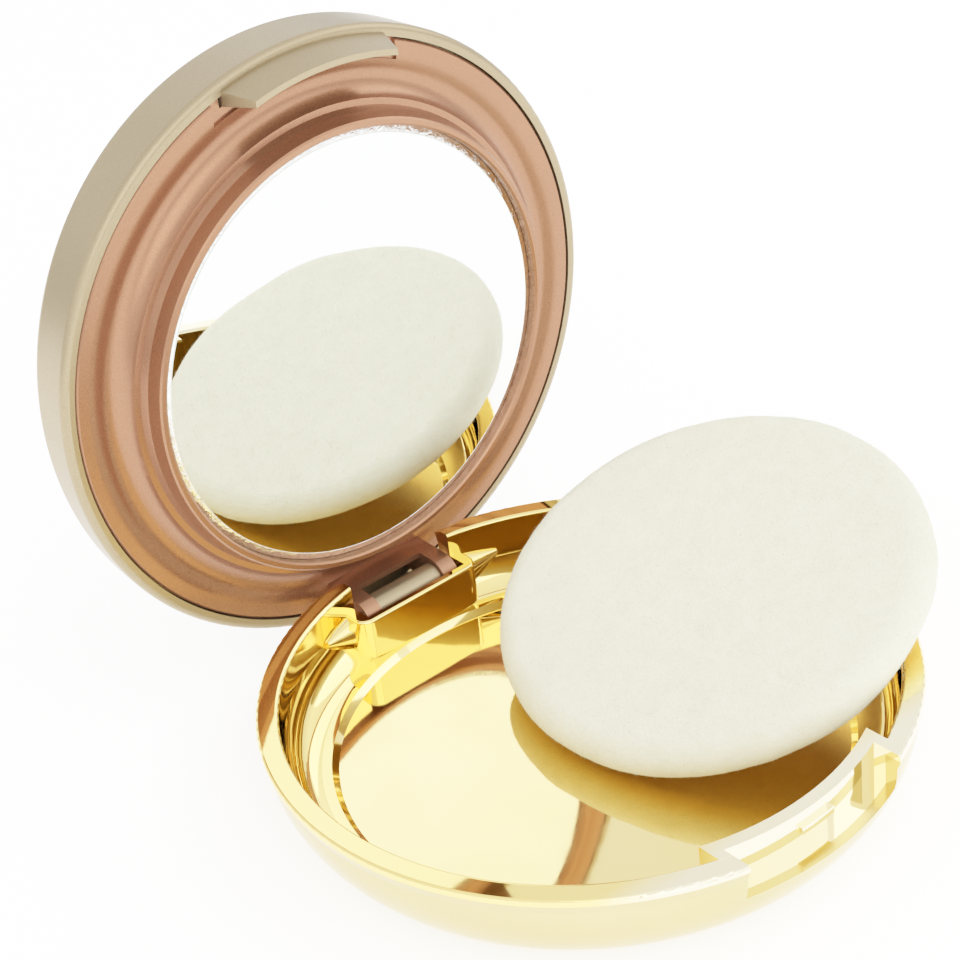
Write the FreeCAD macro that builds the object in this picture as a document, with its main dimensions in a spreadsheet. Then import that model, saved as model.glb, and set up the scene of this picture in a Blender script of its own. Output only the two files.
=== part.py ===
"""Round powder compact: bowl, gilt tray, lid with mirror, and a loose velour puff.

The row frame has its origin at the centre of the foot, on the surface the compact stands on.
+Z is up, +X runs along the hinge and -Y points to the latch. Lengths are millimetres.
The lid is drawn shut on its own plane and then swung open about the hinge.
"""
import FreeCAD, Part
import math
import os
import sys

import Sketcher

os.makedirs("parts", exist_ok=True)
doc = FreeCAD.newDocument("compact")
Vector = FreeCAD.Vector
Rotation = FreeCAD.Rotation
Placement = FreeCAD.Placement

# ---------------------------------------------------------------------------------------------
# Sizes
# ---------------------------------------------------------------------------------------------
SIZES = {
    # bowl
    "foot_radius": 28.2,
    "bowl_low_bend": 6.34, "bowl_mid_radius": 33.09, "bowl_mid_height": 2.31,
    "bowl_high_bend": 11.0, "bowl_side_radius": 35.6, "bowl_side_height": 9.3,
    "rim_radius": 36.0, "rim_height": 11.2, "flange_thick": 0.75,
    "bowl_inner_radius": 34.2, "bowl_inner_bend": 5.35, "bowl_step_height": 1.95,
    "bowl_floor_radius": 28.3, "bowl_floor_top": 1.3,
    # tray
    "well_floor": 2.0, "well_radius": 28.2, "step_radius": 28.9, "step_height": 2.7,
    "cove_height": 7.3, "cove_bend": 4.6, "cove_outer_bend": 5.2,
    "wall_radius": 33.5, "wall_outer": 34.1, "sheet_thick": 0.6, "rim_bend": 0.3,
    "rim_inner_bend": 0.4,
    # hinge
    "hinge_back": 33.0, "hinge_height": 6.3, "pin_radius": 0.6, "bore_play": 0.05,
    "pin_near": 1.5, "pin_far": 9.6, "boss_radius": 3.0, "boss_tip_radius": 0.4,
    "boss_length": 5.8, "boss_root_side": 8.2, "boss_root_back": 33.3,
    "boss_root_height": 5.4, "boss_turn": 27.0, "boss_fall": 75.0,
    "hinge_gap_half": 7.4, "hinge_gap_front": 29.95, "hinge_gap_floor": 3.4,
    "block_front": 29.0, "block_side_half": 9.0, "block_bend": 1.8, "block_edge": 0.35,
    "block_top": 8.2, "block_bottom": 1.9, "block_back": 32.8,
    "ear_half": 10.2, "ear_inner": 33.7, "ear_bottom": 2.6, "ear_floor_inner": 31.5,
    "ear_play": 0.05, "ear_back": 36.5,
    "relief_half": 12.0, "relief_front": 33.9, "relief_back": 36.9, "relief_drop": 1.3,
    # latch
    "notch_half": 10.8, "notch_floor": 6.7, "notch_inner": 32.75, "notch_side_half": 11.6,
    "notch_box_inner": 32.5, "notch_box_bottom": 5.9, "latch_wall_inner": 31.3,
    "latch_wall_half": 12.1, "latch_wall_outer": 33.8, "latch_wall_bottom": 3.0,
    "notch_box_outer": 34.18, "lug_half": 2.3, "lug_reach": 33.2,
    "lug_bottom": 8.8, "lug_tall": 0.8,
    # lid shell, heights above the lid's own plane
    "lid_gap": 0.15, "lid_open_angle": 88.1, "lid_lip_bend": 0.8, "lid_top_radius": 35.65,
    "lid_blank": 11.0, "lid_centre_height": 6.67, "lid_tilt": 4.66, "crown_radius": 31.8,
    "crown_bend": 6.8, "crown_cut_reach": 6.2, "crown_cut_drop": 4.0, "shoulder_bend": 1.0,
    "lid_wall": 1.2, "lid_cavity_radius": 33.4,
    "seat_radius": 34.6, "seat_depth": 1.6,
    "tongue_inner": 33.45, "tongue_root_outer": 35.0, "tongue_tip_outer": 34.1,
    "tongue_root_half": 10.6, "tongue_tip_half": 9.2, "tongue_length": 4.2,
    "barrel_radius": 1.95, "barrel_half": 4.7, "arm_inner": 33.8, "arm_outer": 34.95,
    "arm_root": 34.7, "arm_bite": 1.0,
    # lid liner
    "liner_radius": 34.45, "liner_back": 1.0, "liner_edge": 0.25, "flat_inner": 33.0,
    "roll_bend": 3.5, "roll_radius": 31.52,
    "roll_depth": 0.33, "groove_bend": 2.4, "ridge_radius": 28.22, "ridge_drop": 1.1, "ridge_inner": 27.5,
    "step_in_radius": 27.1, "step_in_drop": 2.0, "lip_outer": 26.75, "lip_drop": 3.9,
    "lip_shoulder": 3.7, "lip_inner": 26.05, "glass_seat_radius": 25.8, "glass_seat_drop": 1.4,
    "plate_back": -0.3, "liner_step_radius": 27.0, "liner_step_outer": 27.6,
    "cutout_half": 12.0, "cutout_inner": 32.2, "cutout_depth": 0.45,
    "slot_half": 10.8, "slot_inner": 33.3, "cheek_inner": 4.8, "cheek_outer": 6.9,
    "cheek_radius": 2.5, "cheek_root_back": 33.9, "bar_front": 30.5, "bar_back": 33.0,
    "bar_drop": 2.6, "window_inner": 31.2,
    # mirror
    "glass_radius": 25.75, "glass_thick": 1.3, "glass_bevel": 0.35, "glass_bevel_wide": 0.9,
    "pad_radius": 24.0, "pad_thick": 0.3,
    # puff
    "puff_radius": 24.8, "puff_thick": 4.4, "cover_thick": 0.7, "puff_side": 18.0,
    "puff_back": -1.3, "puff_height": 13.4, "puff_tilt": 20.0,
}

sheet = doc.addObject("Spreadsheet::Sheet", "sizes")
for row, (name, value) in enumerate(SIZES.items(), start=1):
    sheet.set(f"A{row}", name)
    sheet.set(f"B{row}", str(value))
    sheet.setAlias(f"B{row}", name)
doc.recompute()


class Size:
    """A length together with the sheet formula that gives it."""

    def __init__(self, value, formula):
        self.value = value
        self.formula = formula

    def __add__(self, other):
        other = as_size(other)
        return Size(self.value + other.value, f"({self.formula} + {other.formula})")

    def __sub__(self, other):
        other = as_size(other)
        return Size(self.value - other.value, f"({self.formula} - {other.formula})")

    def __mul__(self, other):
        other = as_size(other)
        return Size(self.value * other.value, f"({self.formula} * {other.formula})")

    def __neg__(self):
        return Size(-self.value, f"(0 - {self.formula})")


def as_size(number):
    """A plain number as a Size, and a Size as itself."""
    if isinstance(number, Size):
        return number
    return Size(float(number), repr(float(number)))


def size(name):
    """The named cell of the sheet."""
    return Size(SIZES[name], f"sizes.{name}")


def chord_depth(radius, half_width):
    """How far from the centre a circle stands where its half width is half_width."""
    value = math.sqrt(radius.value ** 2 - half_width.value ** 2)
    return Size(value, f"sqrt({radius.formula} ^ 2 - {half_width.formula} ^ 2)")


# ---------------------------------------------------------------------------------------------
# Sketches and features
# ---------------------------------------------------------------------------------------------
def new_body(label):
    """An empty body with its own label."""
    body = doc.addObject("PartDesign::Body", label)
    body.Label = label
    return body


def new_sketch(body, name, plane):
    """An empty sketch on one of the body's own origin planes: XY, XZ or YZ."""
    sketch = body.newObject("Sketcher::SketchObject", name)
    support = [item for item in body.Origin.OriginFeatures if item.Role == f"{plane}_Plane"][0]
    sketch.AttachmentSupport = [(support, "")]
    sketch.MapMode = "FlatFace"
    return sketch


def raise_sketch(sketch, distance):
    """Moves a sketch along its plane's normal by a Size."""
    sketch.setExpression("AttachmentOffset.Base.z", distance.formula)


def pin_point(sketch, geometry, point, x, y):
    """Holds a point of the sketch at x, y from the sketch's origin."""
    for kind, axis_line, place in (("DistanceX", -2, x), ("DistanceY", -1, y)):
        if abs(place.value) < 1e-9:
            sketch.addConstraint(Sketcher.Constraint("PointOnObject", geometry, point, axis_line))
            continue
        number = sketch.addConstraint(
            Sketcher.Constraint(kind, -1, 1, geometry, point, place.value))
        sketch.setExpression(f"Constraints[{number}]", place.formula)


def bend_arc(start, stop, radius, turn):
    """The short arc from start to stop, and whether it runs backwards in the sketch.

    turn is +1 when it turns left on its way and -1 when it turns right.
    """
    along = stop - start
    half = along.Length / 2.0
    reach = math.sqrt(max(radius ** 2 - half ** 2, 0.0))
    left = Vector(-along.y, along.x, 0).normalize()
    centre = (start + stop) * 0.5 + left * (turn * reach)
    first, last = (start, stop) if turn > 0 else (stop, start)
    first_angle = math.atan2(first.y - centre.y, first.x - centre.x)
    last_angle = math.atan2(last.y - centre.y, last.x - centre.x)
    if last_angle <= first_angle:
        last_angle += 2.0 * math.pi
    circle = Part.Circle(centre, Vector(0, 0, 1), radius)
    return Part.ArcOfCircle(circle, first_angle, last_angle)


def hold_half_turn(sketch, index, x0, y0, x1, y1):
    """Holds the centre of a half turn whose ends lie level or upright over each other."""
    level = abs(y0.value - y1.value) < 1e-9
    kind, axis_line, place = ("DistanceY", -1, y0) if level else ("DistanceX", -2, x0)
    if abs(place.value) < 1e-9:
        sketch.addConstraint(Sketcher.Constraint("PointOnObject", index, 3, axis_line))
        return
    held = sketch.addConstraint(Sketcher.Constraint(kind, -1, 1, index, 3, place.value))
    sketch.setExpression(f"Constraints[{held}]", place.formula)


def draw_outline(sketch, corners, bends=None):
    """A closed outline through the corners.

    bends maps the number of a side to (radius, turn); the other sides are straight.
    """
    bends = bends or {}
    corners = [(as_size(x), as_size(y)) for x, y in corners]
    count = len(corners)
    ends = []
    for number in range(count):
        x0, y0 = corners[number]
        x1, y1 = corners[(number + 1) % count]
        start = Vector(x0.value, y0.value, 0)
        stop = Vector(x1.value, y1.value, 0)
        if number not in bends:
            index = sketch.addGeometry(Part.LineSegment(start, stop), False)
            ends.append((index, 1, 2))
            continue
        radius, turn = bends[number]
        radius = as_size(radius)
        index = sketch.addGeometry(bend_arc(start, stop, radius.value, turn), False)
        if abs((stop - start).Length - 2.0 * radius.value) < 1e-6:
            hold_half_turn(sketch, index, x0, y0, x1, y1)
        else:
            held = sketch.addConstraint(Sketcher.Constraint("Radius", index, radius.value))
            sketch.setExpression(f"Constraints[{held}]", radius.formula)
        ends.append((index, 1, 2) if turn > 0 else (index, 2, 1))
    for number in range(count):
        before, _, before_stop = ends[number - 1]
        index, start_point, _ = ends[number]
        sketch.addConstraint(
            Sketcher.Constraint("Coincident", before, before_stop, index, start_point))
        pin_point(sketch, index, start_point, *corners[number])


def draw_circle(sketch, x, y, radius):
    """A full circle at x, y."""
    x, y, radius = as_size(x), as_size(y), as_size(radius)
    circle = Part.Circle(Vector(x.value, y.value, 0), Vector(0, 0, 1), radius.value)
    index = sketch.addGeometry(circle, False)
    pin_point(sketch, index, 3, x, y)
    held = sketch.addConstraint(Sketcher.Constraint("Radius", index, radius.value))
    sketch.setExpression(f"Constraints[{held}]", radius.formula)


def feature(body, kind, name, sketch):
    """Adds a sketch-based feature to the body and hides its sketch."""
    added = body.newObject(f"PartDesign::{kind}", name)
    added.Profile = sketch
    sketch.Visibility = False
    return added


def turned(body, name, corners, bends=None, kind="Revolution", frame=None):
    """Turns an outline of (radius, height) corners about the upright axis."""
    sketch = new_sketch(body, f"{name}_outline", "XZ")
    if frame is not None:
        frame(sketch)
    draw_outline(sketch, corners, bends)
    added = feature(body, kind, name, sketch)
    added.ReferenceAxis = (sketch, ["V_Axis"])
    added.Angle = 360.0
    return settle(body, added)


def settle(body, added):
    """Recomputes and stops if the feature did not change the body as it should."""
    doc.recompute()
    if "Invalid" in added.State or "Error" in added.State or not added.isValid():
        sys.exit(f"{body.Label}: {added.Name} failed")
    return added


def upright(body, kind, name, corners, bends, bottom, tall):
    """Pads or pockets a plan outline from the height bottom upwards by tall."""
    sketch = new_sketch(body, f"{name}_plan", "XY")
    raise_sketch(sketch, bottom)
    draw_outline(sketch, corners, bends)
    added = feature(body, kind, name, sketch)
    added.Reversed = kind == "Pocket"
    added.setExpression("Length", tall.formula)
    return settle(body, added)


def crosswise(body, kind, name, corners, bends, from_x, to_x, circle=None):
    """Pads or pockets a (back, height) outline along X from from_x to to_x."""
    sketch = new_sketch(body, f"{name}_side", "YZ")
    raise_sketch(sketch, from_x)
    if circle is not None:
        draw_circle(sketch, *circle)
    else:
        draw_outline(sketch, corners, bends)
    added = feature(body, kind, name, sketch)
    added.Reversed = kind == "Pocket"
    added.setExpression("Length", (to_x - from_x).formula)
    return settle(body, added)


def sector(inner, outer, half_width, side):
    """Plan outline of a rim sector; side is -1 at the latch and +1 at the hinge."""
    near = chord_depth(inner, half_width) * side
    far = chord_depth(outer, half_width) * side
    corners = [(-half_width, far), (half_width, far), (half_width, near), (-half_width, near)]
    bends = {0: (outer, -side), 2: (inner, side)}
    return corners, bends


def finish_edges(body, name, radius, wanted):
    """Rounds the edges of the body's last feature that wanted picks out."""
    last = body.Tip
    edges = [f"Edge{number}" for number, edge in enumerate(last.Shape.Edges, start=1)
             if wanted(edge)]
    added = body.newObject("PartDesign::Fillet", name)
    added.Base = (last, edges)
    added.setExpression("Radius", as_size(radius).formula)
    return settle(body, added)


ROOM = as_size(6.0)
bowl_outline = [
    (size("foot_radius"), 0),
    (size("bowl_mid_radius"), size("bowl_mid_height")),
    (size("bowl_side_radius"), size("bowl_side_height")),
    (size("rim_radius"), size("rim_height") - size("flange_thick")),
]
bowl_bends = [(size("bowl_low_bend"), 1), (size("bowl_high_bend"), 1)]
flange_bottom = size("rim_height") - size("flange_thick")
over_rim = size("rim_height") + ROOM


# ---------------------------------------------------------------------------------------------
# Base shell: the outer bowl, standing on a flat foot
# ---------------------------------------------------------------------------------------------
base_shell = new_body("base_shell")
turned(
    base_shell, "bowl",
    [(0, 0)]
    + bowl_outline
    + [(size("bowl_inner_radius"), flange_bottom),
       (size("bowl_inner_radius"), size("cove_height")),
       (size("step_radius"), size("bowl_step_height")),
       (size("bowl_floor_radius"), size("bowl_floor_top")),
       (0, size("bowl_floor_top"))],
    {1: bowl_bends[0], 2: bowl_bends[1], 6: (size("bowl_inner_bend"), -1)})
slot_half = size("ear_half") + size("ear_play")
slot_bottom = size("ear_bottom") - size("ear_play")
upright(
    base_shell, "Pocket", "hinge_slot",
    [(-slot_half, size("block_front") - 1.0), (slot_half, size("block_front") - 1.0),
     (slot_half, size("rim_radius") + 2.0), (-slot_half, size("rim_radius") + 2.0)],
    None, slot_bottom, over_rim)
upright(
    base_shell, "Pocket", "latch_notch",
    *sector(size("notch_inner"), size("rim_radius") + 2.0, size("notch_half"), -1),
    size("notch_floor"), over_rim)

# ---------------------------------------------------------------------------------------------
# Base tray: plated rim, shelf and well, with the hinge block and the latch wall
# ---------------------------------------------------------------------------------------------
base_tray = new_body("base_tray")
block_nose = size("block_side_half") - size("block_bend")
block_shoulder = size("block_front") + size("block_bend")
upright(
    base_tray, "Pad", "hinge_block",
    [(-size("block_side_half"), size("block_back")),
     (-size("block_side_half"), block_shoulder),
     (-block_nose, size("block_front")), (block_nose, size("block_front")),
     (size("block_side_half"), block_shoulder),
     (size("block_side_half"), size("block_back"))],
    {1: (size("block_bend"), 1), 3: (size("block_bend"), 1)},
    size("block_bottom"), size("block_top") - size("block_bottom"))
finish_edges(
    base_tray, "block_edge", size("block_edge"),
    lambda edge: edge.BoundBox.ZMin > SIZES["block_top"] - 0.01
    and edge.BoundBox.YMin < SIZES["block_back"] - 0.1)
thick = size("sheet_thick")
under_tray = [
    (size("well_radius") + 0.1, size("well_floor") - thick),
    (size("step_radius"), size("step_height") - thick),
    (size("wall_outer"), size("cove_height")),
    (size("wall_outer"), flange_bottom),
]
turned(
    base_tray, "tray",
    [(0, size("well_floor") - thick)]
    + under_tray
    + [
     (size("rim_radius"), flange_bottom),
     (size("rim_radius"), size("rim_height") - size("rim_bend")),
     (size("rim_radius") - size("rim_bend"), size("rim_height")),
     (size("wall_radius") + size("rim_inner_bend"), size("rim_height")),
     (size("wall_radius"), size("rim_height") - size("rim_inner_bend")),
     (size("wall_radius"), size("cove_height")),
     (size("step_radius"), size("step_height")),
     (size("well_radius"), size("well_floor")),
     (0, size("well_floor"))],
    {2: (size("cove_outer_bend"), 1), 6: (size("rim_bend"), 1),
     8: (size("rim_inner_bend"), 1), 10: (size("cove_bend"), -1)})
upright(
    base_tray, "Pad", "latch_wall",
    *sector(size("latch_wall_inner"), size("latch_wall_outer"), size("latch_wall_half"), -1),
    size("latch_wall_bottom"), size("rim_height") - size("latch_wall_bottom"))
for side, word in ((-1, "left"), (1, "right")):
    boss = base_tray.newObject("PartDesign::AdditiveCone", f"pin_boss_{word}")
    boss.setExpression("Radius1", "sizes.boss_radius")
    boss.setExpression("Radius2", "sizes.boss_tip_radius")
    boss.setExpression("Height", "sizes.boss_length")
    boss.Placement = Placement(
        Vector(side * SIZES["boss_root_side"], SIZES["boss_root_back"],
               SIZES["boss_root_height"]),
        Rotation(Vector(0, 0, 1), -side * SIZES["boss_turn"]).multiply(
            Rotation(Vector(0, 1, 0), side * SIZES["boss_fall"])))
    settle(base_tray, boss)
turned(
    base_tray, "under_trim",
    under_tray
    + [(size("rim_radius") + ROOM, flange_bottom), (size("rim_radius") + ROOM, 0.5),
       (size("well_radius") + 0.1, 0.5)],
    {1: (size("cove_outer_bend"), 1)}, kind="Groove")


def ear_plan(inner):
    """Plan of the hinge ears, from an arc of radius inner out past the bowl."""
    corner = chord_depth(inner, size("ear_half"))
    corners = [(-size("ear_half"), corner), (size("ear_half"), corner),
               (size("ear_half"), size("ear_back")), (-size("ear_half"), size("ear_back"))]
    return corners, {0: (inner, -1)}


upright(
    base_tray, "Pad", "hinge_ears", *ear_plan(size("ear_inner")),
    size("hinge_gap_floor") - 0.2, flange_bottom - size("hinge_gap_floor") + 0.2)
upright(
    base_tray, "Pad", "hinge_floor", *ear_plan(size("ear_floor_inner")),
    size("ear_bottom"), size("hinge_gap_floor") - size("ear_bottom"))
turned(
    base_tray, "ear_trim",
    bowl_outline + [(size("rim_radius") + ROOM, flange_bottom), (size("rim_radius") + ROOM, 0)],
    {0: bowl_bends[0], 1: bowl_bends[1]}, kind="Groove")
upright(
    base_tray, "Pad", "notch_box",
    *sector(size("notch_box_inner"), size("notch_box_outer"), size("notch_side_half"), -1),
    size("notch_box_bottom"), flange_bottom - size("notch_box_bottom"))
upright(
    base_tray, "Pocket", "latch_notch",
    *sector(size("notch_inner"), size("rim_radius") + 2.0, size("notch_half"), -1),
    size("notch_floor"), over_rim)
upright(
    base_tray, "Pad", "catch_lug",
    *sector(size("notch_box_inner"), size("lug_reach"), size("lug_half"), -1),
    size("lug_bottom"), size("lug_tall"))
gap_half = size("hinge_gap_half")
upright(
    base_tray, "Pocket", "hinge_gap",
    [(-gap_half, size("hinge_gap_front")), (gap_half, size("hinge_gap_front")),
     (gap_half, size("ear_back") + 2.0), (-gap_half, size("ear_back") + 2.0)],
    None, size("hinge_gap_floor"), over_rim)
crosswise(
    base_tray, "Pocket", "rim_relief",
    [(size("relief_front"), size("rim_height")),
     (size("relief_back"), size("rim_height") - size("relief_drop")),
     (size("relief_back"), over_rim), (size("relief_front"), over_rim)],
    None, -size("relief_half"), size("relief_half"))
crosswise(
    base_tray, "Pocket", "pin_holes", None, None, -size("pin_far"), size("pin_far"),
    circle=(size("hinge_back"), size("hinge_height"), size("pin_radius")))

# ---------------------------------------------------------------------------------------------
# Hinge pins: one short pin in each ear
# ---------------------------------------------------------------------------------------------
hinge_pins = doc.addObject("Part::MultiFuse", "hinge_pins")
hinge_pins.Label = "hinge_pins"
pins = []
for number, side in enumerate((-1, 1), start=1):
    pin = doc.addObject("Part::Cylinder", f"pin_{number}")
    pin.setExpression("Radius", "sizes.pin_radius")
    pin.setExpression("Height", "sizes.pin_far - sizes.pin_near")
    pin.Placement = Placement(
        Vector(0, SIZES["hinge_back"], SIZES["hinge_height"]), Rotation(Vector(0, 1, 0), 90 * side))
    pin.setExpression("Placement.Base.x", f"{side} * sizes.pin_near")
    pin.setExpression("Placement.Base.y", "sizes.hinge_back")
    pin.setExpression("Placement.Base.z", "sizes.hinge_height")
    pins.append(pin)
hinge_pins.Shapes = pins

# ---------------------------------------------------------------------------------------------
# The lid's parts share one frame: its plane is z = 0 and the shut lid lies above the rim
# ---------------------------------------------------------------------------------------------
hinge_point = Vector(0, SIZES["hinge_back"], SIZES["hinge_height"])
shut = Placement(Vector(0, 0, SIZES["rim_height"] + SIZES["lid_gap"]), Rotation())
swing = Placement(Vector(), Rotation(Vector(1, 0, 0), -SIZES["lid_open_angle"]), hinge_point)
lid_open = swing.multiply(shut)
lid_hinge = size("hinge_height") - size("rim_height") - size("lid_gap")
bore_radius = size("pin_radius") + size("bore_play")


# Lid shell: the crown is an upright drum cut by a cap that leans towards the hinge
lid_shell = new_body("lid_shell")
turned(
    lid_shell, "drum",
    [(0, 0), (size("rim_radius") - size("lid_lip_bend"), 0),
     (size("rim_radius"), size("lid_lip_bend")),
     (size("lid_top_radius"), size("lid_blank")), (0, size("lid_blank"))],
    {1: (size("lid_lip_bend"), 1)})


def leaning_groove(name, corners, bends):
    """Cuts the lid with an outline turned about an axis that leans back by lid_tilt."""
    sketch = new_sketch(lid_shell, f"{name}_outline", "YZ")
    sketch.AttachmentOffset = Placement(
        Vector(), Rotation(Vector(0, 0, 1), -SIZES["lid_tilt"]))
    sketch.setExpression("AttachmentOffset.Rotation.Angle", "sizes.lid_tilt")
    sketch.setExpression("AttachmentOffset.Rotation.Axis.z", "-1")
    draw_outline(sketch, corners, bends)
    added = feature(lid_shell, "Groove", name, sketch)
    added.ReferenceAxis = (sketch, ["V_Axis"])
    added.Angle = 360.0
    return settle(lid_shell, added)


crown = size("lid_centre_height")
leaning_groove(
    "crown",
    [(0, crown), (size("crown_radius"), crown),
     (size("crown_radius") + size("crown_cut_reach"), crown - size("crown_cut_drop")),
     (size("rim_radius") + ROOM, size("lid_blank") + ROOM), (0, size("lid_blank") + ROOM)],
    {1: (size("crown_bend"), -1)})
finish_edges(
    lid_shell, "shoulder", size("shoulder_bend"),
    lambda edge: edge.BoundBox.ZMin > 1.5 and edge.Curve.TypeId == "Part::GeomBSplineCurve")
leaning_groove(
    "cavity",
    [(0, -4.0), (size("lid_cavity_radius"), -4.0),
     (size("lid_cavity_radius"), crown - size("lid_wall") - 1.0),
     (size("lid_cavity_radius") - 1.0, crown - size("lid_wall")),
     (0, crown - size("lid_wall"))],
    {2: (1.0, 1)})
turned(
    lid_shell, "liner_seat",
    [(0, -1.0), (size("seat_radius"), -1.0), (size("seat_radius"), size("seat_depth")),
     (0, size("seat_depth"))],
    None, kind="Groove")
tongue_length = size("tongue_length")
upright(
    lid_shell, "Pad", "tongue",
    *sector(size("tongue_inner"), size("tongue_root_outer"), size("tongue_root_half"), -1),
    -tongue_length, tongue_length + size("seat_depth"))
tip_outer = size("tongue_tip_outer")
turned(
    lid_shell, "tongue_slope",
    [(tip_outer, -tongue_length - 0.1), (size("tongue_root_outer"), -0.05),
     (size("rim_radius") + ROOM, -0.05), (size("rim_radius") + ROOM, -tongue_length - 0.1)],
    None, kind="Groove")
for side, word in ((-1, "left"), (1, "right")):
    sketch = new_sketch(lid_shell, f"tongue_{word}_plan", "XZ")
    raise_sketch(sketch, size("tongue_inner") - 4.0)
    tip_half = size("tongue_tip_half") * side
    root_half = size("tongue_root_half") * side
    beyond = (size("tongue_root_half") + 1.0) * side
    draw_outline(sketch, [(tip_half, -tongue_length - 0.1), (root_half, -0.05),
                          (beyond, -0.05), (beyond, -tongue_length - 0.1)])
    cut = feature(lid_shell, "Pocket", f"tongue_{word}_end", sketch)
    cut.Reversed = True
    cut.Length = 10.0
    settle(lid_shell, cut)
crosswise(
    lid_shell, "Pad", "barrel", None, None, -size("barrel_half"), size("barrel_half"),
    circle=(size("hinge_back"), lid_hinge, size("barrel_radius")))
crosswise(
    lid_shell, "Pad", "barrel_arm",
    [(size("arm_inner"), lid_hinge), (size("arm_outer"), lid_hinge),
     (size("arm_outer"), size("arm_bite")), (size("arm_root"), size("arm_bite")),
     (size("arm_root"), -0.15), (size("arm_inner"), -1.0)],
    None, -size("barrel_half"), size("barrel_half"))
crosswise(
    lid_shell, "Pocket", "barrel_bore", None, None,
    -size("barrel_half") - 0.5, size("barrel_half") + 0.5,
    circle=(size("hinge_back"), lid_hinge, bore_radius))
lid_shell.Placement = lid_open

# ---------------------------------------------------------------------------------------------
# Lid liner: the ring that frames the mirror, with the hinge cheeks
# ---------------------------------------------------------------------------------------------
lid_liner = new_body("lid_liner")
turned(
    lid_liner, "ring",
    [(0, -size("glass_seat_drop")),
     (size("glass_seat_radius"), -size("glass_seat_drop")),
     (size("glass_seat_radius"), -size("lip_shoulder")),
     (size("lip_inner"), -size("lip_drop")),
     (size("lip_outer") - 0.2, -size("lip_drop")),
     (size("lip_outer"), -size("lip_shoulder")),
     (size("step_in_radius"), -size("step_in_drop")),
     (size("ridge_inner"), -size("ridge_drop") - 0.05),
     (size("ridge_radius"), -size("ridge_drop")),
     (size("roll_radius"), size("roll_depth")),
     (size("flat_inner"), 0),
     (size("liner_radius") - size("liner_edge"), 0),
     (size("liner_radius"), size("liner_edge")),
     (size("liner_radius"), size("liner_back")),
     (size("liner_step_outer"), size("liner_back")),
     (size("liner_step_radius"), size("plate_back")),
     (0, size("plate_back"))],
    {8: (size("groove_bend"), -1), 9: (size("roll_bend"), 1)})
upright(
    lid_liner, "Pocket", "tongue_cutout",
    *sector(size("cutout_inner"), size("rim_radius"), size("cutout_half"), -1),
    as_size(-2.0), size("cutout_depth") + 2.0)
upright(
    lid_liner, "Pocket", "tongue_slot",
    *sector(size("slot_inner"), size("rim_radius"), size("slot_half"), -1),
    as_size(-2.0), size("liner_back") + 3.0)
crosswise(
    lid_liner, "Pad", "cross_bar",
    [(size("bar_front"), -size("bar_drop")), (size("bar_back"), -size("bar_drop")),
     (size("bar_back"), 0.6), (size("bar_front"), 0.6)],
    None, -size("cheek_outer"), size("cheek_outer"))
window_drop = -size("bar_drop") - 0.5
window_rise = size("liner_back") + 0.5
window_outer = size("liner_radius") + 1.0
crosswise(
    lid_liner, "Pocket", "hinge_window",
    [(size("window_inner"), window_drop), (window_outer, window_drop),
     (window_outer, window_rise), (size("window_inner"), window_rise)],
    None, -size("cheek_inner"), size("cheek_inner"))
cheek_front = size("hinge_back") - size("cheek_radius")
cheek_back = size("hinge_back") + size("cheek_radius")
for side, word in ((-1, "left"), (1, "right")):
    low, high = sorted((size("cheek_inner") * side, size("cheek_outer") * side),
                       key=lambda item: item.value)
    crosswise(
        lid_liner, "Pad", f"cheek_{word}",
        [(cheek_front, 0.6), (cheek_front, lid_hinge), (cheek_back, lid_hinge),
         (size("cheek_root_back"), 0), (size("cheek_root_back") - 0.4, 0.6)],
        {1: (size("cheek_radius"), 1)}, low, high)
crosswise(
    lid_liner, "Pocket", "pin_bores", None, None,
    -size("cheek_outer") - 0.5, size("cheek_outer") + 0.5,
    circle=(size("hinge_back"), lid_hinge, bore_radius))
lid_liner.Placement = lid_open

# ---------------------------------------------------------------------------------------------
# Mirror glass and the pad that bonds it into the liner
# ---------------------------------------------------------------------------------------------
mirror_glass = new_body("mirror_glass")
glass_back = -size("glass_seat_drop") - size("pad_thick")
glass_front = glass_back - size("glass_thick")
turned(
    mirror_glass, "disc",
    [(0, glass_front), (size("glass_radius") - size("glass_bevel_wide"), glass_front),
     (size("glass_radius"), glass_front + size("glass_bevel")),
     (size("glass_radius"), glass_back), (0, glass_back)])
mirror_glass.Placement = lid_open

mirror_adhesive = new_body("mirror_adhesive")
turned(
    mirror_adhesive, "pad",
    [(0, glass_back), (size("pad_radius"), glass_back),
     (size("pad_radius"), -size("glass_seat_drop")), (0, -size("glass_seat_drop"))])
mirror_adhesive.Placement = lid_open

# ---------------------------------------------------------------------------------------------
# Puff: a flocked cover around a sponge, leaning out of the well over the rim on the +X side
# ---------------------------------------------------------------------------------------------
puff_rest = Placement(
    Vector(SIZES["puff_side"], SIZES["puff_back"], SIZES["puff_height"]),
    Rotation(Vector(0, 1, 0), -SIZES["puff_tilt"]))
half_thick = size("puff_thick") * 0.5
core_half = half_thick - size("cover_thick")
flat_radius = size("puff_radius") - half_thick

puff_core = new_body("puff_core")
turned(
    puff_core, "sponge",
    [(0, -core_half), (flat_radius, -core_half), (flat_radius, core_half), (0, core_half)],
    {1: (core_half, 1)})
puff_core.Placement = puff_rest

puff_cover = new_body("puff_cover")
turned(
    puff_cover, "cover",
    [(0, -half_thick), (flat_radius, -half_thick), (flat_radius, half_thick), (0, half_thick),
     (0, core_half), (flat_radius, core_half), (flat_radius, -core_half), (0, -core_half)],
    {1: (half_thick, 1), 5: (core_half, -1)})
puff_cover.Placement = puff_rest

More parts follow.
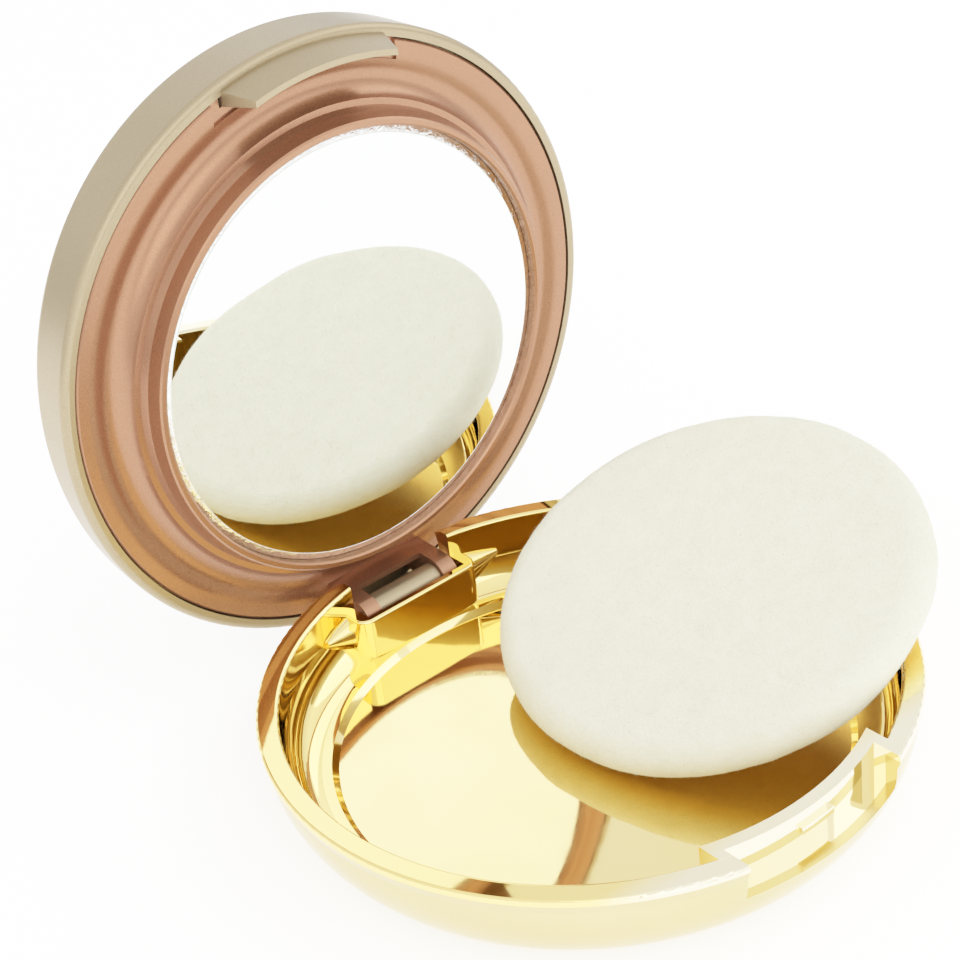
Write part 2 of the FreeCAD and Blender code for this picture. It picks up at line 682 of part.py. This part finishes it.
# ---------------------------------------------------------------------------------------------
# Check and write
# ---------------------------------------------------------------------------------------------
NODES = [base_shell, base_tray, hinge_pins, lid_shell, lid_liner, mirror_glass, mirror_adhesive,
         puff_core, puff_cover]
doc.recompute()
broken = [item.Name for item in doc.Objects
          if "Invalid" in item.State or "Error" in item.State]
if broken:
    sys.exit(f"objects in error: {broken}")
for node in NODES:
    if node.Shape.isNull() or not node.Shape.isValid():
        sys.exit(f"{node.Label} has no valid shape")
    solids = len(node.Shape.Solids)
    print(f"{node.Label}: {solids} solid(s), {node.Shape.Volume:.1f} mm3, {node.Shape.BoundBox}")
    node.Shape.exportStep(f"parts/{node.Label}.step")
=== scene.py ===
"""Looks of the powder compact: plated tray and bowl, satin lid, mirror and velour puff.

Everything is in metres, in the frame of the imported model. The puff's own sizes are written in
millimetres and are multiplied by MM where they are used.
"""
import math
import random

import bpy
from mathutils import Matrix, Vector, noise


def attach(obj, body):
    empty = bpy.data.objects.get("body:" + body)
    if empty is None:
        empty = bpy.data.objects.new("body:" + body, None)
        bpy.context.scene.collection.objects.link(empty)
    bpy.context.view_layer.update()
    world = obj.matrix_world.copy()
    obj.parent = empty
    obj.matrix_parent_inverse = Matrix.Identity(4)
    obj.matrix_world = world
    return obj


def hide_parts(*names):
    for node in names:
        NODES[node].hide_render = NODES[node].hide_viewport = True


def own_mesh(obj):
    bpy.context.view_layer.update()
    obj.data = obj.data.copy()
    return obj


MM = 0.001
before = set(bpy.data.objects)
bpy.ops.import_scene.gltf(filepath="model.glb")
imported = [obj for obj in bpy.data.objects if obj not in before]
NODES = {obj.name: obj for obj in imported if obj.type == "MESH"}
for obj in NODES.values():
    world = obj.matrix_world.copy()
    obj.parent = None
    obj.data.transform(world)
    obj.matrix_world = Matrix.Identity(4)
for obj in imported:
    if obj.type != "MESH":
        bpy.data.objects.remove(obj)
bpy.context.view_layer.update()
scene = bpy.context.scene

# Share of a noise's 0..1 output that carries its contrast
NOISE_LOW = 0.3
NOISE_HIGH = 0.7


# ---------------------------------------------------------------------------------------------
# Materials
# ---------------------------------------------------------------------------------------------
class Paint:
    """A material under construction: a Principled shader and short calls that add nodes."""

    def __init__(self, name, **sockets):
        self.material = bpy.data.materials.new(name)
        self.material.use_nodes = True
        self.tree = self.material.node_tree
        self.shader = self.tree.nodes["Principled BSDF"]
        self.place = self.add("ShaderNodeTexCoord").outputs["Object"]
        for socket, value in sockets.items():
            self.shader.inputs[socket.replace("_", " ")].default_value = value

    def add(self, kind, **settings):
        node = self.tree.nodes.new(kind)
        for key, value in settings.items():
            setattr(node, key, value)
        return node

    def link(self, source, target):
        self.tree.links.new(source, target)

    def noise(self, scale, detail=3.0, roughness=0.5, stretch=None, distortion=0.0):
        """Value noise in object space, scale in cells per metre."""
        node = self.add("ShaderNodeTexNoise")
        node.inputs["Scale"].default_value = scale
        node.inputs["Detail"].default_value = detail
        node.inputs["Roughness"].default_value = roughness
        node.inputs["Distortion"].default_value = distortion
        if stretch is None:
            self.link(self.place, node.inputs["Vector"])
        else:
            shape = self.add("ShaderNodeMapping")
            shape.inputs["Scale"].default_value = stretch
            self.link(self.place, shape.inputs["Vector"])
            self.link(shape.outputs["Vector"], node.inputs["Vector"])
        return node.outputs["Fac"]

    def remap(self, source, low, high, to_low, to_high):
        """source from low..high becomes to_low..to_high."""
        node = self.add("ShaderNodeMapRange")
        for socket, value in (("From Min", low), ("From Max", high),
                              ("To Min", to_low), ("To Max", to_high)):
            node.inputs[socket].default_value = value
        self.link(source, node.inputs["Value"])
        return node.outputs["Result"]

    def math(self, operation, first, second):
        """Two sources put together by one operation."""
        node = self.add("ShaderNodeMath", operation=operation)
        self.link(first, node.inputs[0])
        self.link(second, node.inputs[1])
        return node.outputs[0]

    def ramp(self, source, low, high, start=NOISE_LOW, end=NOISE_HIGH):
        """Colour low where source is start or less, colour high where it is end or more."""
        node = self.add("ShaderNodeValToRGB")
        stops = zip(node.color_ramp.elements, ((start, low), (end, high)))
        for element, (position, colour) in stops:
            element.position = position
            element.color = (*colour, 1.0)
        self.link(source, node.inputs["Fac"])
        return node.outputs["Color"]

    def blend(self, share, first, second):
        """Colour first where share is 0, second where it is 1."""
        node = self.add("ShaderNodeMix", data_type="RGBA")
        self.link(share, node.inputs["Factor"])
        self.link(first, node.inputs["A"])
        self.link(second, node.inputs["B"])
        return node.outputs["Result"]

    def bump(self, height, distance, before=None):
        """A relief of height 0..1, distance deep, on top of the relief before."""
        node = self.add("ShaderNodeBump")
        node.inputs["Distance"].default_value = distance
        node.inputs["Strength"].default_value = 1.0
        self.link(height, node.inputs["Height"])
        if before is not None:
            self.link(before, node.inputs["Normal"])
        return node.outputs["Normal"]

    def use(self, socket, source):
        self.link(source, self.shader.inputs[socket])


def polish(paint, smooth, smeared, ripple):
    """Gloss of plating: faint smears in the roughness and a soft orange peel, ripple deep."""
    smears = paint.noise(190.0, 6.0, 0.62, stretch=(1.0, 1.7, 1.0), distortion=0.6)
    paint.use("Roughness", paint.remap(smears, 0.35, 0.75, smooth, smeared))
    peel = paint.noise(420.0, 1.5, 0.4)
    paint.use("Normal", paint.bump(peel, ripple))


def plated(name, low, high, smooth, smeared, ripple):
    """Polished plating with a slow colour drift."""
    paint = Paint(name, Metallic=1.0)
    drift = paint.noise(60.0, 2.0)
    paint.use("Base Color", paint.ramp(drift, low, high))
    polish(paint, smooth, smeared, ripple)
    return paint.material


# Heights over which the tray's floor, paler from a painted highlight, gives way to its walls, and
# how much paler the painted highlight makes it
FLOOR_HIGHLIGHT_TOP = 2.2 * MM
WALL_FOOT = 2.6 * MM
FLOOR_HIGHLIGHT_SHARE = 0.2
# The band, front to back, over which the painted highlight at the latch fades out
LATCH_HIGHLIGHT_FULL = -31.0 * MM
LATCH_HIGHLIGHT_END = -27.0 * MM


def tray_plating(name):
    """Gold plating of the tray: deep on the walls, paler on the floor and at the latch as a
    painted highlight of the white they reflect.
    """
    paint = Paint(name, Metallic=1.0)
    drift = paint.noise(60.0, 2.0)
    deep = paint.ramp(drift, (0.92, 0.685, 0.24), (0.94, 0.715, 0.275))
    pale = paint.ramp(drift, (0.92, 0.82, 0.56), (0.94, 0.85, 0.62))
    split = paint.add("ShaderNodeSeparateXYZ")
    paint.link(paint.place, split.inputs["Vector"])
    # Painted highlight: the floor and the latch are blended towards pale gold to stand in for the
    # bright white they reflect
    floor_highlight = paint.remap(split.outputs["Z"], FLOOR_HIGHLIGHT_TOP, WALL_FOOT, FLOOR_HIGHLIGHT_SHARE, 0.0)
    latch_highlight = paint.remap(split.outputs["Y"], LATCH_HIGHLIGHT_FULL, LATCH_HIGHLIGHT_END, 1.0, 0.0)
    painted_highlight = paint.math("MAXIMUM", floor_highlight, latch_highlight)
    paint.use("Base Color", paint.blend(painted_highlight, deep, pale))
    polish(paint, 0.03, 0.07, 0.003 * MM)
    return paint.material


# How far the roughness of satin lacquer swings to each side from flake to flake
FLAKE_GLOSS = 0.05


def satin(name, low, high, roughness, metallic):
    """Satin lacquer: fine metal flake in the colour, gloss and surface, under a thin coat."""
    paint = Paint(name, Metallic=metallic)
    paint.shader.inputs["Coat Weight"].default_value = 0.25
    paint.shader.inputs["Coat Roughness"].default_value = 0.22
    flake = paint.noise(9000.0, 2.0, 0.6)
    drift = paint.noise(45.0, 2.0)
    mixed = paint.math("ADD", paint.remap(flake, NOISE_LOW, NOISE_HIGH, 0.0, 0.75),
                       paint.remap(drift, NOISE_LOW, NOISE_HIGH, 0.0, 0.25))
    paint.use("Base Color", paint.ramp(mixed, low, high, 0.1, 0.9))
    paint.use("Roughness", paint.remap(flake, NOISE_LOW, NOISE_HIGH,
                                       roughness + FLAKE_GLOSS, roughness - FLAKE_GLOSS))
    paint.use("Normal", paint.bump(flake, 0.004 * MM))
    return paint.material


mirror_corners = [Vector(corner) for corner in NODES["mirror_glass"].bound_box]
MIRROR_MIDDLE = sum(corner.z for corner in mirror_corners) / 8.0
BEVEL_WIDTH = 0.9 * MM
BEVEL_START = max(corner.x for corner in mirror_corners) - BEVEL_WIDTH
BEVEL_RISE = 0.08 * MM


def silvered(name):
    """Silvered glass: a clean reflection, and glints in the ground bevel round its edge."""
    paint = Paint(name, Metallic=1.0)
    middle = paint.add("ShaderNodeMapping")
    middle.inputs["Location"].default_value = (0.0, 0.0, -MIRROR_MIDDLE)
    middle.inputs["Scale"].default_value = (1.0, 0.0, 1.0)
    paint.link(paint.place, middle.inputs["Vector"])
    reach = paint.add("ShaderNodeVectorMath", operation="LENGTH")
    paint.link(middle.outputs["Vector"], reach.inputs[0])
    bevel = paint.remap(reach.outputs["Value"], BEVEL_START, BEVEL_START + BEVEL_RISE, 0.0, 1.0)
    grind = paint.noise(850.0, 4.0, 0.6, distortion=1.2)
    paint.use("Normal", paint.bump(paint.math("MULTIPLY", bevel, grind), 0.2 * MM))
    haze = paint.noise(130.0, 5.0, 0.6)
    paint.use("Base Color", paint.ramp(haze, (0.90, 0.925, 0.915), (0.915, 0.935, 0.925)))
    paint.use("Roughness", paint.remap(haze, 0.45, 0.8, 0.004, 0.02))
    return paint.material


# Radius and thickness in mm; the tilt leans the puff towards the direction PUFF_LEAN
PUFF_RADIUS = 25.1
PUFF_THICK = 5.0
PUFF_PLACE = Vector((18.4, -1.3, 13.1)) * MM
PUFF_TILT = math.radians(20.0)
PUFF_LEAN = math.radians(182.9)
# Depths below the puff's middle plane between which the painted warm light, bounced up from the
# gold tray, comes in
GOLD_BOUNCE_START = 0.9 * MM
GOLD_BOUNCE_FULL = 2.3 * MM


def puff_frame():
    """The puff's own axes and place as a matrix."""
    lean = Vector((math.cos(PUFF_LEAN), math.sin(PUFF_LEAN), 0.0))
    hinge = Vector((0.0, 0.0, 1.0)).cross(lean)
    return Matrix.Translation(PUFF_PLACE) @ Matrix.Rotation(PUFF_TILT, 4, hinge)


puff_axis = puff_frame().col[2].xyz


def velour(name):
    """Flocked pile: soft clumps, a fine nap, a pale sheen and an underside painted warm yellow as
    light bounced up from the gold tray.
    """
    paint = Paint(name, Roughness=0.95)
    paint.shader.inputs["Sheen Weight"].default_value = 0.2
    paint.shader.inputs["Sheen Roughness"].default_value = 0.45
    paint.shader.inputs["Specular IOR Level"].default_value = 0.1
    nap = paint.noise(5200.0, 3.0, 0.65)
    clump = paint.noise(420.0, 4.0, 0.55)
    mixed = paint.math("ADD", paint.remap(nap, NOISE_LOW, NOISE_HIGH, 0.0, 0.6),
                       paint.remap(clump, NOISE_LOW, NOISE_HIGH, 0.0, 0.4))
    clean = paint.ramp(mixed, (0.78, 0.755, 0.56), (0.88, 0.855, 0.66), 0.1, 0.9)
    # Warm yellow for the underside: painted light bounced up from the gold tray
    used = paint.ramp(mixed, (0.80, 0.60, 0.26), (0.88, 0.69, 0.34), 0.1, 0.9)
    along = paint.add("ShaderNodeVectorMath", operation="DOT_PRODUCT")
    along.inputs[1].default_value = puff_axis
    paint.link(paint.place, along.inputs[0])
    middle = PUFF_PLACE.dot(puff_axis)
    painted_bounce = paint.remap(along.outputs["Value"],
                          middle - GOLD_BOUNCE_FULL, middle - GOLD_BOUNCE_START, 1.0, 0.0)
    paint.use("Base Color", paint.blend(painted_bounce, clean, used))
    fine = paint.bump(nap, 0.12 * MM)
    paint.use("Normal", paint.bump(clump, 0.10 * MM, before=fine))
    return paint.material


def plain(name, low, high, roughness, scale):
    """A plain part with a light mottle."""
    paint = Paint(name, Roughness=roughness)
    mottle = paint.noise(scale, 4.0)
    paint.use("Base Color", paint.ramp(mottle, low, high))
    paint.use("Normal", paint.bump(mottle, 0.02 * MM))
    return paint.material


GOLD = tray_plating("gold_plating")
# The bowl's own pale gold, set darker overall as painted shade for the dim floor round the case
# that it reflects
PALE_GOLD = plated("pale_gold", (0.63, 0.52, 0.245), (0.67, 0.55, 0.28), 0.16, 0.22, 0.004 * MM)
CHAMPAGNE = satin("champagne", (0.29, 0.225, 0.13), (0.37, 0.29, 0.175), 0.36, 0.8)
ROSE = satin("rose", (0.285, 0.135, 0.072), (0.36, 0.172, 0.095), 0.30, 0.75)
MIRROR = silvered("silvered_glass")
STEEL = plated("drawn_steel", (0.55, 0.55, 0.56), (0.62, 0.62, 0.63), 0.25, 0.33, 0.003 * MM)
FOAM = plain("foam_tape", (0.72, 0.71, 0.68), (0.80, 0.79, 0.76), 0.8, 900.0)
VELOUR = velour("ivory_velour")
SPONGE = plain("sponge", (0.80, 0.74, 0.58), (0.86, 0.81, 0.66), 0.9, 1500.0)

FINISH = {
    "base_shell": PALE_GOLD, "base_tray": GOLD, "hinge_pins": STEEL, "lid_shell": CHAMPAGNE,
    "lid_liner": ROSE, "mirror_glass": MIRROR, "mirror_adhesive": FOAM, "puff_core": SPONGE,
    "puff_cover": VELOUR,
}
for name, finish in FINISH.items():
    node = NODES[name]
    node.data.materials.clear()
    node.data.materials.append(finish)


# ---------------------------------------------------------------------------------------------
# Puff: a soft disc with a rounded edge and a standing nap
# ---------------------------------------------------------------------------------------------
PUFF_TURNS = 288
FLAT_RINGS = 44
EDGE_STEPS = 24
# The rounded edge reaches out a little further than half the thickness
EDGE_BULGE = 1.15
CROWN = 0.28
# How far the cover is thicker than the sponge inside it: at the rim, and on each face
COVER_RIM = 1.6
COVER_FACE = 0.9
SPONGE_TURNS = 96
SPONGE_STEPS = 10
NAP_HAIRS = 15000
NAP_LENGTH = 0.34
NAP_ROOT = 0.03
NAP_SEED = 11


def puff_profile():
    """(radius, height) points of the puff's half section in mm, from the top middle round."""
    edge = PUFF_THICK / 2.0
    flat = PUFF_RADIUS - edge * EDGE_BULGE
    points = [(flat * step / FLAT_RINGS, edge) for step in range(1, FLAT_RINGS + 1)]
    for step in range(1, EDGE_STEPS):
        angle = math.pi / 2.0 - math.pi * step / EDGE_STEPS
        points.append((flat + edge * EDGE_BULGE * math.cos(angle), edge * math.sin(angle)))
    points += [(flat * step / FLAT_RINGS, -edge) for step in range(FLAT_RINGS, 0, -1)]
    return points


def soften(point, normal):
    """A surface point of the puff with the unevenness of a soft flocked sponge, in mm."""
    reach = math.hypot(point.x, point.y) / PUFF_RADIUS
    slow = noise.noise(point * 0.09) * 0.22 + noise.noise(point * 0.3 + Vector((7, 3, 1))) * 0.07
    fine = noise.noise(point * 1.6) * 0.035 + noise.noise(point * 4.5) * 0.03
    crown = CROWN * (1.0 - reach ** 2) if abs(normal.z) > 0.5 else 0.0
    return point + normal * (slow + fine + crown)


def new_piece(name, vertices, faces, material):
    """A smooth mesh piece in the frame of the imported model."""
    mesh = bpy.data.meshes.new(name)
    mesh.from_pydata(vertices, [], faces)
    mesh.polygons.foreach_set("use_smooth", [True] * len(mesh.polygons))
    mesh.materials.append(material)
    mesh.update()
    piece = bpy.data.objects.new(name, mesh)
    scene.collection.objects.link(piece)
    return piece


def lathe(name, section, turns, material, place):
    """A closed solid turned about the Z axis of place; section runs from pole to pole, in mm."""
    vertices = [place @ Vector((0, 0, section[0][1] * MM))]
    for radius, height in section[1:-1]:
        for turn in range(turns):
            angle = 2.0 * math.pi * turn / turns
            vertices.append(place @ (Vector((radius * math.cos(angle), radius * math.sin(angle),
                                             height)) * MM))
    vertices.append(place @ Vector((0, 0, section[-1][1] * MM)))
    rings = len(section) - 2
    last = len(vertices) - 1
    faces = []
    for turn in range(turns):
        after = (turn + 1) % turns
        faces.append((0, 1 + turn, 1 + after))
        for ring in range(rings - 1):
            low = 1 + ring * turns
            high = low + turns
            faces.append((low + turn, high + turn, high + after, low + after))
        low = 1 + (rings - 1) * turns
        faces.append((last, low + after, low + turn))
    return new_piece(name, vertices, faces, material)


def build_puff():
    """The flocked cover as one closed skin."""
    profile = puff_profile()
    place = puff_frame()
    vertices = []
    edge = PUFF_THICK / 2.0
    for radius, height in profile:
        for turn in range(PUFF_TURNS):
            angle = 2.0 * math.pi * turn / PUFF_TURNS
            outward = Vector((math.cos(angle), math.sin(angle), 0.0))
            point = outward * radius + Vector((0, 0, height))
            round_part = max(0.0, radius - (PUFF_RADIUS - edge * EDGE_BULGE))
            normal = (outward * round_part / EDGE_BULGE + Vector((0, 0, height))).normalized()
            vertices.append(place @ (soften(point, normal) * MM))
    rings = len(profile)
    faces = []
    for ring in range(rings - 1):
        for turn in range(PUFF_TURNS):
            after = (turn + 1) % PUFF_TURNS
            faces.append((ring * PUFF_TURNS + turn, (ring + 1) * PUFF_TURNS + turn,
                          (ring + 1) * PUFF_TURNS + after, ring * PUFF_TURNS + after))
    for ring, height in ((0, edge), (rings - 1, -edge)):
        middle = len(vertices)
        up = Vector((0, 0, math.copysign(1.0, height)))
        vertices.append(place @ (soften(Vector((0, 0, height)), up) * MM))
        for turn in range(PUFF_TURNS):
            after = (turn + 1) % PUFF_TURNS
            pair = (ring * PUFF_TURNS + turn, ring * PUFF_TURNS + after)
            faces.append((middle, *pair) if height > 0 else (middle, pair[1], pair[0]))
    return new_piece("puff_velour", vertices, faces, VELOUR)


def build_sponge():
    """The sponge inside the cover."""
    place = puff_frame()
    radius = PUFF_RADIUS - COVER_RIM
    half = PUFF_THICK / 2.0 - COVER_FACE
    section = [(0.0, half)]
    for step in range(SPONGE_STEPS + 1):
        angle = math.pi * step / SPONGE_STEPS
        section.append((radius - half + half * math.sin(angle), half * math.cos(angle)))
    section.append((0.0, -half))
    return lathe("puff_sponge", section, SPONGE_TURNS, SPONGE, place)


def build_nap(skin):
    """Short fibres that stand on the cover, each a closed three-sided spike."""
    draw = random.Random(NAP_SEED)
    mesh = skin.data
    polygons = [face for face in mesh.polygons if face.area > 0.0]
    weights = [face.area for face in polygons]
    vertices = []
    faces = []
    for face in draw.choices(polygons, weights=weights, k=NAP_HAIRS):
        normal = face.normal
        spots = [mesh.vertices[index].co for index in face.vertices]
        shares = [draw.random() for _ in spots]
        total = sum(shares)
        root = sum((spot * share for spot, share in zip(spots, shares)), Vector()) / total
        side = normal.orthogonal().normalized()
        side.rotate(Matrix.Rotation(draw.uniform(0, 2 * math.pi), 3, normal))
        sway = side * draw.uniform(0.0, 0.55)
        length = NAP_LENGTH * draw.uniform(0.5, 1.15) * MM
        width = draw.uniform(0.014, 0.024) * MM
        base = len(vertices)
        for step in range(3):
            arm = side.copy()
            arm.rotate(Matrix.Rotation(2.0 * math.pi * step / 3.0, 3, normal))
            vertices.append(root - normal * NAP_ROOT * MM + arm * width)
        vertices.append(root + (normal + sway).normalized() * length)
        faces += [(base, base + 1, base + 3), (base + 1, base + 2, base + 3),
                  (base + 2, base, base + 3), (base + 2, base + 1, base)]
    return new_piece("puff_nap", vertices, faces, VELOUR)


puff_skin = build_puff()
puff_nap = build_nap(puff_skin)
puff_sponge = build_sponge()
# The puff pieces ride with the puff body, each with a mesh of its own
for piece, slot in ((puff_skin, "velour"), (puff_nap, "velour"), (puff_sponge, "sponge")):
    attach(piece, "puff")
    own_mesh(piece)
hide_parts("puff_cover")
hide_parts("puff_core")


# ---------------------------------------------------------------------------------------------
# Floor, light and camera
# ---------------------------------------------------------------------------------------------
FLOOR_REACH = 1.5
FLOOR_LEVEL = -0.0002


def area_light(name, place, aim, size, power):
    """A square soft box at place that faces aim."""
    light = bpy.data.lights.new(name, "AREA")
    light.shape = "SQUARE"
    light.size = size
    light.energy = power
    holder = bpy.data.objects.new(name, light)
    scene.collection.objects.link(holder)
    holder.location = place
    holder.rotation_euler = (Vector(aim) - Vector(place)).to_track_quat("-Z", "Y").to_euler()


floor_mesh = bpy.data.meshes.new("floor")
floor_mesh.from_pydata([(across * FLOOR_REACH, along * FLOOR_REACH, FLOOR_LEVEL)
                        for across, along in ((-1, -1), (1, -1), (1, 1), (-1, 1))],
                       [], [(0, 1, 2, 3)])
floor = bpy.data.objects.new("floor", floor_mesh)
scene.collection.objects.link(floor)
paper = Paint("paper", Roughness=0.7)
grain = paper.noise(600.0, 3.0)
paper.use("Base Color", paper.ramp(grain, (0.95, 0.95, 0.95), (0.97, 0.97, 0.97)))
paper.shader.inputs["Emission Color"].default_value = (1.0, 1.0, 1.0, 1.0)
paper.shader.inputs["Emission Strength"].default_value = 0.32
floor_mesh.materials.append(paper.material)

# The studio walls and ceiling: (height of the direction, grey), and a little darker at the back
SKY_STOPS = ((0.0, 0.45), (0.10, 0.52), (0.35, 0.86), (0.70, 0.72))
SKY_ACROSS = (("From Min", -0.7), ("From Max", 0.6), ("To Min", 0.98), ("To Max", 0.74))
world = bpy.data.worlds.new("studio")
scene.world = world
world.use_nodes = True
studio_nodes = world.node_tree.nodes
studio_links = world.node_tree.links
sky = studio_nodes["Background"]
direction = studio_nodes.new("ShaderNodeTexCoord")
split = studio_nodes.new("ShaderNodeSeparateXYZ")
height_ramp = studio_nodes.new("ShaderNodeValToRGB")
shade_across = studio_nodes.new("ShaderNodeMapRange")
studio_links.new(direction.outputs["Generated"], split.inputs["Vector"])
studio_links.new(split.outputs["Z"], height_ramp.inputs["Fac"])
studio_links.new(split.outputs["Y"], shade_across.inputs["Value"])
studio_links.new(shade_across.outputs["Result"], sky.inputs["Strength"])
studio_links.new(height_ramp.outputs["Color"], sky.inputs["Color"])
for socket, value in SKY_ACROSS:
    shade_across.inputs[socket].default_value = value
elements = height_ramp.color_ramp.elements
while len(elements) < len(SKY_STOPS):
    elements.new(0.5)
for element, (position, shade) in zip(elements, SKY_STOPS):
    element.position = position
    element.color = (shade, shade, shade, 1.0)

CASE_MIDDLE = (0.0, 0.0, 0.02)
HINGE_MIDDLE = (0.0, 0.038, 0.03)
area_light("front_box", (-0.35, -0.75, 0.55), CASE_MIDDLE, 0.8, 0.9)
area_light("side_box", (0.75, -0.2, 0.55), CASE_MIDDLE, 0.5, 0.4)
area_light("well_box", (0.37, -0.65, 0.65), HINGE_MIDDLE, 0.6, 0.3)

VIEW_AZIMUTH = math.radians(-36.5)
VIEW_ELEVATION = math.radians(30.53)
VIEW_ROLL = math.radians(-7.39)
CAMERA_PLACE = Vector((-109.70, -133.70, 138.31)) * MM
FOCAL_LENGTH = 73.94
SENSOR_WIDTH = 36.0
NEAR_CLIP = 0.005
back = Vector((math.sin(VIEW_AZIMUTH) * math.cos(VIEW_ELEVATION),
               -math.cos(VIEW_AZIMUTH) * math.cos(VIEW_ELEVATION), math.sin(VIEW_ELEVATION)))
level = Vector((math.cos(VIEW_AZIMUTH), math.sin(VIEW_AZIMUTH), 0.0))
upward = back.cross(level)
right = level * math.cos(VIEW_ROLL) + upward * math.sin(VIEW_ROLL)
top = -level * math.sin(VIEW_ROLL) + upward * math.cos(VIEW_ROLL)
lens = bpy.data.cameras.new("camera")
lens.lens = FOCAL_LENGTH
lens.sensor_width = SENSOR_WIDTH
lens.clip_start = NEAR_CLIP
camera = bpy.data.objects.new("camera", lens)
scene.collection.objects.link(camera)
facing = Matrix((right, top, back)).transposed().to_4x4()
camera.matrix_world = Matrix.Translation(CAMERA_PLACE) @ facing
scene.camera = camera

# Tone curve of a bright studio picture: mid tones lifted, highlights rolled off towards white
SHOULDER = 3.2
TONE_STEPS = 9
TONE_CROWDING = 1.6
scene.view_settings.view_transform = "Standard"
scene.view_settings.use_curve_mapping = True
tones = scene.view_settings.curve_mapping
tones.white_level = (1.0, 1.0, 1.0)
master = tones.curves[3]
for step in range(1, TONE_STEPS):
    light = (step / TONE_STEPS) ** TONE_CROWDING
    shown = (1.0 - math.exp(-SHOULDER * light)) / (1.0 - math.exp(-SHOULDER))
    master.points.new(light, shown)
tones.update()
